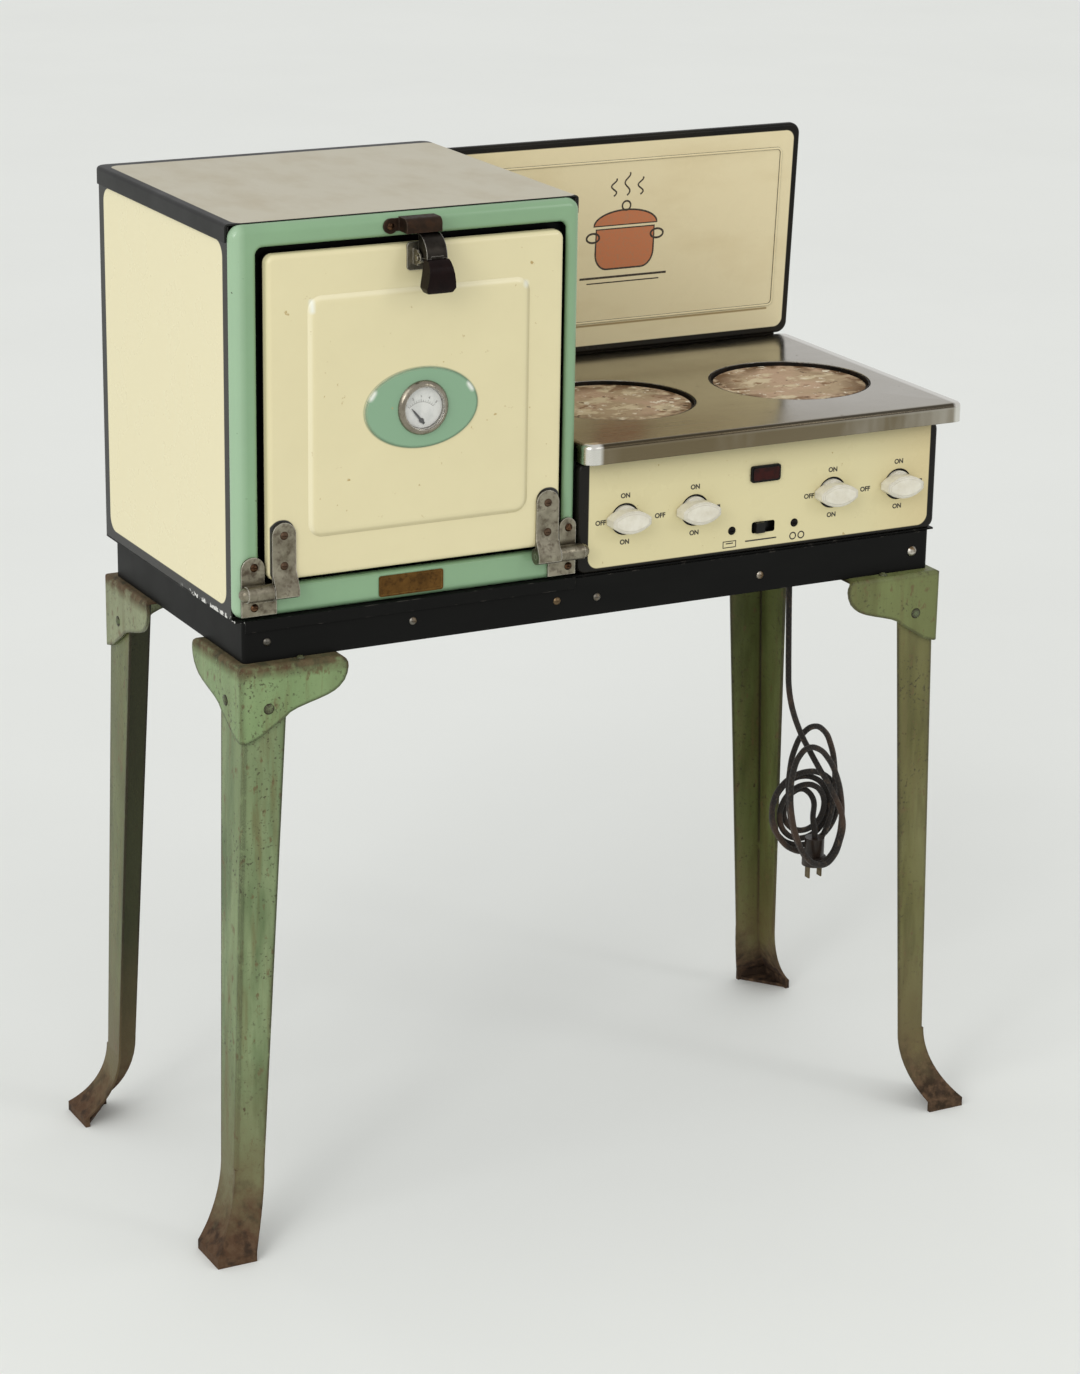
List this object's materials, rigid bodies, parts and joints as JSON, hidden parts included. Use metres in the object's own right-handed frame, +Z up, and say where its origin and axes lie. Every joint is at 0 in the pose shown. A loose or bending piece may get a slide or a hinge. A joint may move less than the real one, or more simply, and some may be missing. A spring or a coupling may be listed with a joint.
{
  "type": "toy oven",
  "caption": "Toy electric oven and range on a leg stand: oven with hinged door, latch and gauge, hob with round hotplates, control panel with bar knobs, backsplash and hanging lead.",
  "frame": {"origin": "on the floor under the middle of the stand, between the feet", "axes": "+X to the right seen from the front, +Y to the back, +Z up; the oven door and the knobs face -Y"},
  "size_m": [0.716, 0.337, 0.838],
  "materials": {
    "black_enamel": "worn gloss black enamel",
    "leg_paint": "worn green enamel over rusty sheet",
    "old_steel": "tarnished steel",
    "cream_paint": "semi-gloss cream enamel",
    "green_paint": "semi-gloss jade green enamel",
    "plate_brown": "worn brown plate",
    "oven_steel": "dull sheet steel",
    "rack_steel": "plated wire",
    "element_dark": "dark scaled steel",
    "nickel": "old nickel plate",
    "dial_paint": "aged matte dial",
    "needle_black": "black paint",
    "clear_glass": "clear",
    "grip_brown": "dark brown moulded phenolic",
    "keeper_rust": "dark rusty steel",
    "refractory": null,
    "knob_white": "glossy off-white moulding",
    "switch_black": "black moulding",
    "jewel_red": "dark red translucent moulding",
    "lead_cover": "dark braided cotton over rubber",
    "brass_prong": "dull brass"
  },
  "bodies": {
    "case": {"apron_frame": "black_enamel", "leg_front_left": "leg_paint", "leg_front_right": "leg_paint", "leg_rear_left": "leg_paint", "leg_rear_right": "leg_paint", "bracket_front_left": "leg_paint", "bracket_front_right": "leg_paint", "bracket_rear_left": "leg_paint", "bracket_rear_right": "leg_paint", "bracket_bolts": "old_steel", "leg_rivets": "leg_paint", "case_screws": "old_steel", "base_plate": "black_enamel", "oven_shell": "black_enamel", "oven_back": "black_enamel", "oven_lid": "cream_paint", "oven_front_frame": "green_paint", "nameplate": "plate_brown", "oven_liner": "oven_steel", "oven_element": "element_dark", "hinge_fixed_left": "nickel", "hinge_fixed_right": "nickel", "hinge_pins": "nickel", "latch_keeper": "keeper_rust", "range_shell": "black_enamel", "control_panel": "cream_paint", "stovetop": "nickel", "hotplate_left": "refractory", "hotplate_right": "refractory", "element_pans": "element_dark", "backsplash": "cream_paint", "switch_bodies": "switch_black", "pilot_window": "jewel_red", "selector_switch": "switch_black", "lead_bushing": "switch_black", "lead": "lead_cover", "lead_hank": "lead_cover", "plug_body": "grip_brown", "plug_prongs": "brass_prong"},
    "door": {"door_panel": "cream_paint", "door_liner": "oven_steel", "gauge_case": "nickel", "gauge_dial": "dial_paint", "gauge_glass": "clear_glass", "hinge_door_left": "nickel", "hinge_door_right": "nickel", "door_screws": "old_steel", "latch_plate": "nickel", "latch_pin": "nickel"},
    "needle": {"gauge_needle": "needle_black"},
    "latch": {"latch_lever": "nickel", "latch_grip": "grip_brown"},
    "knob_a": {"knob_1": "knob_white"},
    "knob_b": {"knob_2": "knob_white"},
    "knob_c": {"knob_3": "knob_white"},
    "knob_d": {"knob_4": "knob_white"},
    "selector": {"selector_button": "switch_black"},
    "upper_rack": {"rack_upper": "rack_steel"},
    "lower_rack": {"rack_lower": "rack_steel"}
  },
  "joints": [
    {"name": "door_swing", "type": "hinge", "parent": "case", "child": "door", "pos_m": [-0.1685, -0.139, 0.5524], "axis": [1, 0, 0], "range_deg": [0, 90]},
    {"name": "latch_swing", "type": "hinge", "parent": "door", "child": "latch", "pos_m": [-0.163, -0.147, 0.805], "axis": [-1, 0, 0], "range_deg": [0, 15]},
    {"name": "gauge_needle_turn", "type": "hinge", "parent": "door", "child": "needle", "pos_m": [-0.1677, -0.1402, 0.676], "axis": [0, 1, 0], "range_deg": [0, 80]},
    {"name": "knob_a_turn", "type": "hinge", "parent": "case", "child": "knob_a", "pos_m": [0.021, -0.1315, 0.572], "axis": [0, 1, 0], "continuous": true},
    {"name": "knob_b_turn", "type": "hinge", "parent": "case", "child": "knob_b", "pos_m": [0.086, -0.1315, 0.572], "axis": [0, 1, 0], "continuous": true},
    {"name": "knob_c_turn", "type": "hinge", "parent": "case", "child": "knob_c", "pos_m": [0.218, -0.1315, 0.572], "axis": [0, 1, 0], "continuous": true},
    {"name": "knob_d_turn", "type": "hinge", "parent": "case", "child": "knob_d", "pos_m": [0.283, -0.1315, 0.572], "axis": [0, 1, 0], "continuous": true},
    {"name": "selector_slide", "type": "slide", "parent": "case", "child": "selector", "axis": [1, 0, 0], "range_m": [0, 0.008]},
    {"name": "upper_rack_slide", "type": "slide", "parent": "case", "child": "upper_rack", "axis": [0, -1, 0], "range_m": [0, 0.015]},
    {"name": "lower_rack_slide", "type": "slide", "parent": "case", "child": "lower_rack", "axis": [0, -1, 0], "range_m": [0, 0.015]}
  ]
}
